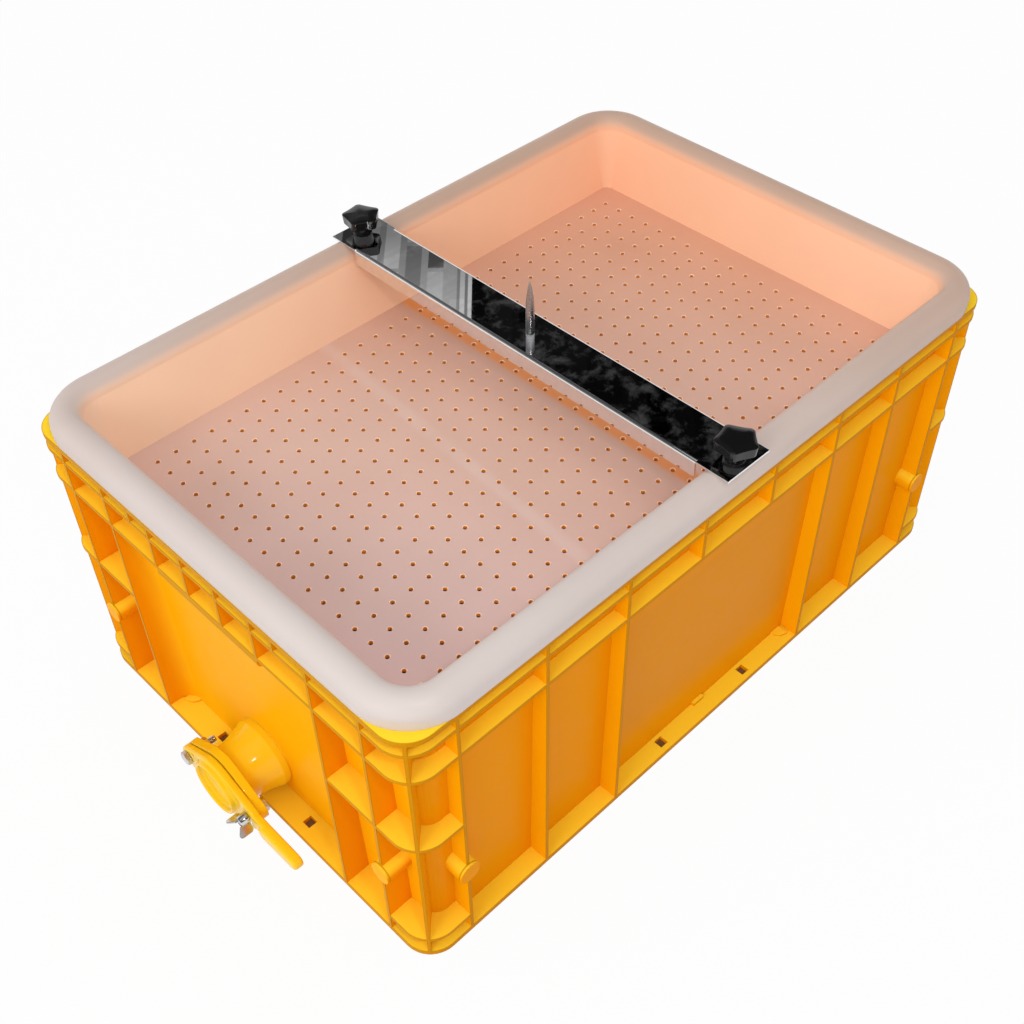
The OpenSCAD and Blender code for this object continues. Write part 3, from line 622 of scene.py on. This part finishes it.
def clearSelection():
    if bpy.context.mode != "OBJECT":
        bpy.ops.object.mode_set(mode="OBJECT")
    bpy.ops.object.select_all(action="DESELECT")


def makeActive(piece):
    clearSelection()
    piece.select_set(True)
    bpy.context.view_layer.objects.active = piece


def pick(kind, test):
    # selects what passes the test, in the mesh that is in edit mode
    mesh = bpy.context.edit_object.data
    bpy.ops.mesh.select_mode(type=kind)
    bpy.ops.mesh.select_all(action="DESELECT")
    shape = bmesh.from_edit_mesh(mesh)
    for part in {"VERT": shape.verts, "EDGE": shape.edges, "FACE": shape.faces}[kind]:
        if test(part):
            part.select_set(True)
    shape.select_flush_mode()
    bmesh.update_edit_mesh(mesh)


def extrudeUp(rise):
    bpy.ops.mesh.extrude_region_move(TRANSFORM_OT_translate={"value": (0, 0, rise)})


def resizeAcross(ratio, middle):
    bpy.ops.transform.resize(value=(ratio, ratio, 1), center_override=middle)


def applyModifier(piece, kind, **values):
    makeActive(piece)
    modifier = piece.modifiers.new(kind.lower(), kind)
    for key, value in values.items():
        setattr(modifier, key, value)
    bpy.ops.object.modifier_apply(modifier=modifier.name)


def combine(piece, tool, operation="UNION"):
    applyModifier(piece, "BOOLEAN", object=tool, operation=operation, solver="EXACT")
    bpy.data.objects.remove(tool)
    return piece


def tidyMesh(piece):
    makeActive(piece)
    bpy.ops.object.mode_set(mode="EDIT")
    bpy.ops.mesh.select_all(action="SELECT")
    bpy.ops.mesh.remove_doubles(threshold=0.000004)
    bpy.ops.mesh.normals_make_consistent(inside=False)
    bpy.ops.object.mode_set(mode="OBJECT")


def turnedShape(steps, place=(0, 0, 0), segments=64):
    # a closed body of revolution: a disc drawn out through each (radius, height)
    clearSelection()
    x, y, z = place
    radius, height = steps[0]
    bpy.ops.mesh.primitive_circle_add(
        vertices=segments, radius=radius, fill_type="NGON", location=(x, y, z + height))
    piece = bpy.context.object
    bpy.ops.object.mode_set(mode="EDIT")
    for nextRadius, nextHeight in steps[1:]:
        extrudeUp(nextHeight - height)
        resizeAcross(nextRadius / radius, (x, y, z + nextHeight))
        radius, height = nextRadius, nextHeight
    bpy.ops.object.mode_set(mode="OBJECT")
    tidyMesh(piece)
    return piece


def roundedSlab(discs, low, high, edge, segments=72, rimAngle=1.2):
    # the hull of upright discs (x, y, radius), with its rims rounded, where faces meet at over
    # rimAngle in radians
    clearSelection()
    parts = []
    for x, y, radius in discs:
        bpy.ops.mesh.primitive_cylinder_add(
            vertices=segments, radius=radius, depth=high - low, location=(x, y, (low + high) / 2))
        parts.append(bpy.context.object)
    for part in parts:
        part.select_set(True)
    bpy.ops.object.join()
    piece = bpy.context.object
    bpy.ops.object.transform_apply(location=True)
    bpy.ops.object.mode_set(mode="EDIT")
    bpy.ops.mesh.select_all(action="SELECT")
    bpy.ops.mesh.convex_hull()
    bpy.ops.mesh.select_all(action="SELECT")
    bpy.ops.mesh.dissolve_limited(angle_limit=math.radians(1))
    if edge:
        pick("EDGE", lambda line: line.calc_face_angle(0) > rimAngle)
        bpy.ops.mesh.bevel(offset=edge, segments=4, affect="EDGES")
    bpy.ops.object.mode_set(mode="OBJECT")
    tidyMesh(piece)
    return piece


def onGateAxis(piece, node, axisNode, aside=0):
    # turns a piece that stands on +Z so that it points out of the gate along the axis node's middle
    # line, or beside it in Y, with its foot at the node's inner end
    low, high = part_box(axisNode)
    piece.location = (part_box(node)[1].x, (low.y + high.y) / 2 + aside, (low.z + high.z) / 2)
    piece.rotation_euler = (0, -math.pi / 2, 0)


def finishPiece(piece, name, finish, body, slot, *replaced, angle=35):
    makeActive(piece)
    bpy.ops.object.transform_apply(location=True, rotation=True, scale=True)
    bpy.ops.object.shade_smooth_by_angle(angle=math.radians(angle))
    piece.name = name
    piece.data.name = name
    piece.data.materials.clear()
    piece.data.materials.append(materials[finish])
    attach(piece, body)
    if replaced:
        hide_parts(*replaced)
    clearSelection()


# clamp knobs: five-lobed moulded heads on tapered hubs

knob = {
    "lobes": 5,
    "lobeReach": 0.0163,
    "valleyReach": 0.0126,
    "cornerRound": 0.0030,        # of lobes and valleys alike
    "cornerSteps": 8,
    "headHeight": 0.0088,
    "draft": 0.95,                # foot of the head over its crown
    # ratio and rise of each step of the domed top, which the hollow underside repeats
    "crown": ((0.93, 0.0004), (0.80, 0.0005), (0.55, 0.0004), (0.25, 0.0001)),
    "hub": ((0.0070, 0.0), (0.0075, 0.0006), (0.0077, 0.0030), (0.0084, 0.0064), (0.0098, 0.0100)),
    # the last value is how far a lobe is turned from +Y, in degrees
    "left": ("knob_left", "knob_stud_left", "leftKnob", -29),
    "right": ("knob_right", "knob_stud_right", "rightKnob", -25),
}


def makeKnob(settings, nodeName, studName, name, turn):
    low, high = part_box(nodeName)
    studLow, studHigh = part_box(studName)
    middle = (studLow + studHigh) / 2
    crownHeight = sum(rise for ratio, rise in settings["crown"])
    height = settings["headHeight"] - crownHeight
    shoulder = high.z - crownHeight
    clearSelection()
    bpy.ops.mesh.primitive_circle_add(
        vertices=2 * settings["lobes"], radius=settings["lobeReach"], fill_type="NGON",
        location=(middle.x, middle.y, shoulder), rotation=(0, 0, math.radians(turn)))
    piece = bpy.context.object
    bpy.ops.object.transform_apply(rotation=True)
    bpy.ops.object.mode_set(mode="EDIT")
    pick("VERT", lambda point: point.index % 2 == 1)
    resizeAcross(settings["valleyReach"] / settings["lobeReach"], (middle.x, middle.y, shoulder))
    bpy.ops.mesh.select_all(action="SELECT")
    bpy.ops.mesh.bevel(
        offset=settings["cornerRound"], segments=settings["cornerSteps"], affect="VERTICES")
    bpy.ops.mesh.select_all(action="SELECT")
    extrudeUp(-height)
    resizeAcross(settings["draft"], (middle.x, middle.y, shoulder - height))
    pick("FACE", lambda face: len(face.verts) > 4)
    level = shoulder
    for ratio, rise in settings["crown"]:
        extrudeUp(rise)
        level += rise
        resizeAcross(ratio, (middle.x, middle.y, level))
    bpy.ops.object.mode_set(mode="OBJECT")
    tidyMesh(piece)
    combine(piece, turnedShape(settings["hub"], (middle.x, middle.y, low.z)))
    finishPiece(piece, name, "black", nodeName, "black_plastic", nodeName)


for side in ("left", "right"):
    makeKnob(knob, *knob[side])
print("knobs ready")


# gate blade: a rounded plate with a raised ring, a dish and a thick handle

blade = {
    "thickness": 0.0060,
    "disc": 0.0260,
    "reach": 0.0365,              # pivot and clamp stud from the bore's axis
    "lug": 0.0085,
    "root": 0.0120,
    "neck": 0.0080,
    "armInset": 0.00005,          # keeps the arm's faces off the plate's
    "handleEnd": 0.0890,
    "handleRound": 0.0060,
    "gripStart": 0.0575,
    "gripFoot": 0.0001,
    "gripThickness": 0.0080,
    "gripGrowth": (0.0008, -0.0001),  # over the handle's radius, at its start and its end
    "edgeRound": 0.0014,
    "gripRound": 0.0024,
    "boltHole": 0.0033,
    "slot": 0.0036,
    "slotEnd": (-0.020, 0.0015),  # how far it runs sideways, and how far it rises and widens
    "cutThrough": (-0.002, 0.012),
    "voxel": 0.00055,
    "smoothing": (0.5, 4),
    "dishCut": ((0.0215, 0.0025), (0.0215, 0.02)),
    "ring": (
        (0.0220, 0.0022), (0.0221, 0.0056), (0.0242, 0.0060), (0.0236, 0.0064), (0.0232, 0.0072),
        (0.0230, 0.0084), (0.0227, 0.0093), (0.0221, 0.0098), (0.0214, 0.0100), (0.0207, 0.0098),
        (0.0201, 0.0093), (0.0198, 0.0084), (0.0196, 0.0072), (0.0192, 0.0064), (0.0184, 0.0059),
        (0.0140, 0.0049), (0.0100, 0.0042), (0.0060, 0.0038), (0.0030, 0.0036), (0.0008, 0.00355),
    ),
}


def makeBlade(settings):
    reach = settings["reach"]
    thick = settings["thickness"]
    end = settings["handleEnd"]
    edge = settings["edgeRound"]
    inset = settings["armInset"]
    low, high = settings["cutThrough"]
    disc = (0, 0, settings["disc"])
    piece = roundedSlab((disc, (0, reach, settings["lug"])), 0, thick, edge)
    root = roundedSlab((disc, (0, -reach, settings["root"])), 0, thick, edge)
    arm = roundedSlab(
        ((0, -reach, settings["neck"]), (0, -end, settings["handleRound"])), inset, thick - inset, edge)
    startGrowth, endGrowth = settings["gripGrowth"]
    grip = roundedSlab(
        ((0, -settings["gripStart"], settings["handleRound"] + startGrowth),
         (0, -end, settings["handleRound"] + endGrowth)),
        settings["gripFoot"], settings["gripThickness"], settings["gripRound"])
    for part in (root, arm, grip):
        combine(piece, part)
    combine(piece, turnedShape(settings["dishCut"], segments=96), "DIFFERENCE")
    combine(piece, turnedShape(settings["ring"], segments=96))
    hole = settings["boltHole"]
    combine(piece, turnedShape(((hole, low), (hole, high)), (0, reach, 0)), "DIFFERENCE")
    slot = settings["slot"]
    sideways, spread = settings["slotEnd"]
    opening = ((0, -reach, slot), (sideways, -reach + spread, slot + spread))
    combine(piece, roundedSlab(opening, low, high, 0), "DIFFERENCE")
    applyModifier(piece, "REMESH", mode="VOXEL", voxel_size=settings["voxel"])
    factor, passes = settings["smoothing"]
    applyModifier(piece, "SMOOTH", factor=factor, iterations=passes)
    onGateAxis(piece, "gate_blade", "gate_pivot_bolt", -reach)
    finishPiece(piece, "gateBlade", "yellow", "gate_blade", "yellow_plastic", "gate_blade", angle=60)


makeBlade(blade)
print("gate blade ready")


# fasteners: chamfered hexagons, grooved threads, and the pressed wing nut

fasteners = {
    "flats": 0.0100,
    "headThickness": 0.0035,
    "nutThickness": 0.0050,
    "chamfer": 0.0007,
    "chamferFace": 0.96,          # radius of the end face over half the flats
    "chamferSpare": 0.0002,       # beyond the corners, where the chamfer's cone ends
    "thread": 0.0030,             # radius over the thread
    "pitch": 0.0010,
    "depth": 0.00045,
    "crest": (0.35, 0.50),        # of the pitch, where each crest starts and ends
    "valley": 0.92,               # of the pitch, where each groove is deepest
    "runOut": 0.4,                # of the pitch, from the last groove to the plain rod
    "tip": (0.0006, 0.0004),      # how far the end is drawn in, and the height of its chamfer
    "bore": 0.0032,
    "lead": 0.0006,               # chamfer of the bore
    "threadLength": 0.0140,
    "overlap": 0.0005,            # of a rod in its head
    "spare": 0.001,               # how far cutting shapes stand out of what they cut
}


def hexBlock(settings, low, high, chamferLow, chamferHigh):
    # a hexagonal bar, turned down at the ends that are chamfered
    half = settings["flats"] / 2
    corner = half / math.cos(math.radians(30))
    face = half * settings["chamferFace"]
    clearSelection()
    bpy.ops.mesh.primitive_cylinder_add(
        vertices=6, radius=corner, depth=high - low, location=(0, 0, (low + high) / 2),
        rotation=(0, 0, math.radians(30)))
    piece = bpy.context.object
    bpy.ops.object.transform_apply(location=True, rotation=True)
    cut = settings["chamfer"]
    spare = settings["spare"]
    wide = corner + settings["chamferSpare"]
    steps = [(face, low), (wide, low + cut)] if chamferLow else [(corner + spare, low - spare)]
    steps += [(wide, high - cut), (face, high)] if chamferHigh else [(corner + spare, high + spare)]
    return combine(piece, turnedShape(steps, segments=48), "INTERSECT")


def threadedRod(settings, length):
    # grooved from its chamfered foot up, and plain past the thread
    radius = settings["thread"]
    pitch = settings["pitch"]
    depth = settings["depth"]
    crestStart, crestEnd = settings["crest"]
    narrower, height = settings["tip"]
    steps = [(radius - narrower, 0), (radius - depth, height)]
    while height < settings["threadLength"]:
        steps.append((radius, height + pitch * crestStart))
        steps.append((radius, height + pitch * crestEnd))
        steps.append((radius - depth, height + pitch * settings["valley"]))
        height += pitch
    steps.append((radius, height + pitch * settings["runOut"]))
    steps.append((radius, length))
    return turnedShape(steps, segments=32)


def makePivotBolt(settings):
    low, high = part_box("gate_pivot_bolt")
    length = high.x - low.x
    shoulder = length - settings["headThickness"]
    piece = threadedRod(settings, shoulder + settings["overlap"])
    combine(piece, hexBlock(settings, shoulder, length, False, True))
    onGateAxis(piece, "gate_pivot_bolt", "gate_pivot_bolt")
    finishPiece(piece, "pivotBolt", "bolt", "crate", "bolt_steel", "gate_pivot_bolt", angle=30)


def makeClampStud(settings):
    low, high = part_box("gate_clamp_stud")
    length = high.x - low.x
    piece = hexBlock(settings, 0, settings["headThickness"], True, False)
    rod = threadedRod(settings, length - settings["headThickness"] + settings["overlap"])
    rod.rotation_euler = (math.pi, 0, 0)
    rod.location = (0, 0, length)
    makeActive(rod)
    bpy.ops.object.transform_apply(location=True, rotation=True)
    combine(piece, rod)
    onGateAxis(piece, "gate_clamp_stud", "gate_clamp_stud")
    finishPiece(piece, "clampStud", "bolt", "crate", "bolt_steel", "gate_clamp_stud", angle=30)


def makeNut(settings, node, name, body, upright):
    thickness = settings["nutThickness"]
    piece = hexBlock(settings, 0, thickness, True, True)
    bore = settings["bore"]
    lead = settings["lead"]
    spare = settings["spare"]
    wide = bore + lead
    combine(piece, turnedShape((
        (wide + spare, -spare), (wide, 0), (bore, lead), (bore, thickness - lead),
        (wide, thickness), (wide + spare, thickness + spare)), segments=32), "DIFFERENCE")
    if upright:
        low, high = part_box(node)
        piece.location = ((low.x + high.x) / 2, (low.y + high.y) / 2, low.z)
    else:
        onGateAxis(piece, node, node)
    finishPiece(piece, name, "bolt", body, "bolt_steel", node, angle=30)


wingNut = {
    "hub": ((0.0044, 0.0), (0.0048, 0.0004), (0.0048, 0.0012), (0.0043, 0.0062), (0.0039, 0.0070)),
    "bore": ((0.0032, -0.001), (0.0032, 0.02)),
    "wing": ((0.0020, 0.0036, 0.0034), (0.0080, 0.0044, 0.0032), (0.0090, 0.0108, 0.0021)),
    "sheet": 0.0016,
    "edgeRound": 0.0005,
    "turn": 112,                  # degrees about the stud, each wing to its own side
}


def makeWingNut(settings):
    piece = turnedShape(settings["hub"], segments=48)
    half = settings["sheet"] / 2
    for way in (1, -1):
        wing = roundedSlab(settings["wing"], -half, half, settings["edgeRound"], segments=40)
        wing.rotation_euler = (math.pi / 2, 0, way * math.radians(settings["turn"]))
        makeActive(wing)
        bpy.ops.object.transform_apply(rotation=True)
        combine(piece, wing)
    combine(piece, turnedShape(settings["bore"], segments=32), "DIFFERENCE")
    onGateAxis(piece, "gate_wing_nut", "gate_clamp_stud")
    finishPiece(
        piece, "wingNut", "pressed", "gate_wing_nut", "pressed_stainless", "gate_wing_nut", angle=40)


makePivotBolt(fasteners)
makeClampStud(fasteners)
makeNut(fasteners, "gate_pivot_nut", "pivotNut", "crate", False)
makeNut(fasteners, "spike_nut", "spikeNut", "tray", True)
makeWingNut(wingNut)
print("fasteners ready")


# spike: a turned rod with a chamfered foot, a small step and a bellied point

spike = {
    # radius and height, from the foot
    "shank": ((0.0024, 0.0), (0.0030, 0.0006), (0.0030, 0.0084), (0.0031, 0.0086), (0.00325, 0.0090)),
    # the same, with the heights set so that the last is at the top
    "point": (
        (0.00325, 0.0205), (0.00318, 0.0235), (0.00295, 0.0275), (0.0026, 0.0315), (0.00215, 0.0352),
        (0.0016, 0.0388), (0.00105, 0.0418), (0.0006, 0.0441), (0.00028, 0.0455), (0.00008, 0.0460),
    ),
}


def makeSpike(settings):
    low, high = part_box("spike")
    top = high.z - settings["point"][-1][1]
    steps = [(radius, low.z + rise) for radius, rise in settings["shank"]]
    steps += [(radius, top + rise) for radius, rise in settings["point"]]
    piece = turnedShape(steps, ((low.x + high.x) / 2, (low.y + high.y) / 2, 0))
    finishPiece(piece, "combSpike", "turned", "tray", "turned_stainless", "spike", angle=40)


makeSpike(spike)
print("spike ready")


# raised burrs round the tray's floor holes, paler than the floor round them, partly as painted glints

burrs = {
    "columns": 31,
    "rows": 19,
    "pitch": 0.0160,
    "reach": 0.00196,             # middle of the burr from the hole's axis
    "section": 0.00036,           # radius of its section
    "sink": 0.00013,
    "tilt": 15.0,                 # tilted: high on one side and sunk on the other, so that a pale crescent shows on one side of each hole as a painted glint
    "tiltSide": 45.0,
}


def makeBurrs(settings):
    low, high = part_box("tray_floor")
    pitch = settings["pitch"]
    corner = (
        -(settings["columns"] - 1) / 2 * pitch + (low.x + high.x) / 2,
        -(settings["rows"] - 1) / 2 * pitch + (low.y + high.y) / 2,
        high.z - settings["sink"],
    )
    clearSelection()
    bpy.ops.mesh.primitive_torus_add(
        major_radius=settings["reach"], minor_radius=settings["section"],
        major_segments=12, minor_segments=4, location=corner)
    piece = bpy.context.object
    piece.rotation_euler = (0, -math.radians(settings["tilt"]), math.radians(settings["tiltSide"]))
    makeActive(piece)
    bpy.ops.object.transform_apply(location=False, rotation=True)
    for count, step in ((settings["columns"], (pitch, 0, 0)), (settings["rows"], (0, pitch, 0))):
        applyModifier(piece, "ARRAY", count=count, use_relative_offset=False,
                      use_constant_offset=True, constant_offset_displace=step)
    finishPiece(piece, "holeBurrs", "burr", "tray", "white_plastic", angle=80)


makeBurrs(burrs)
print("hole burrs ready")
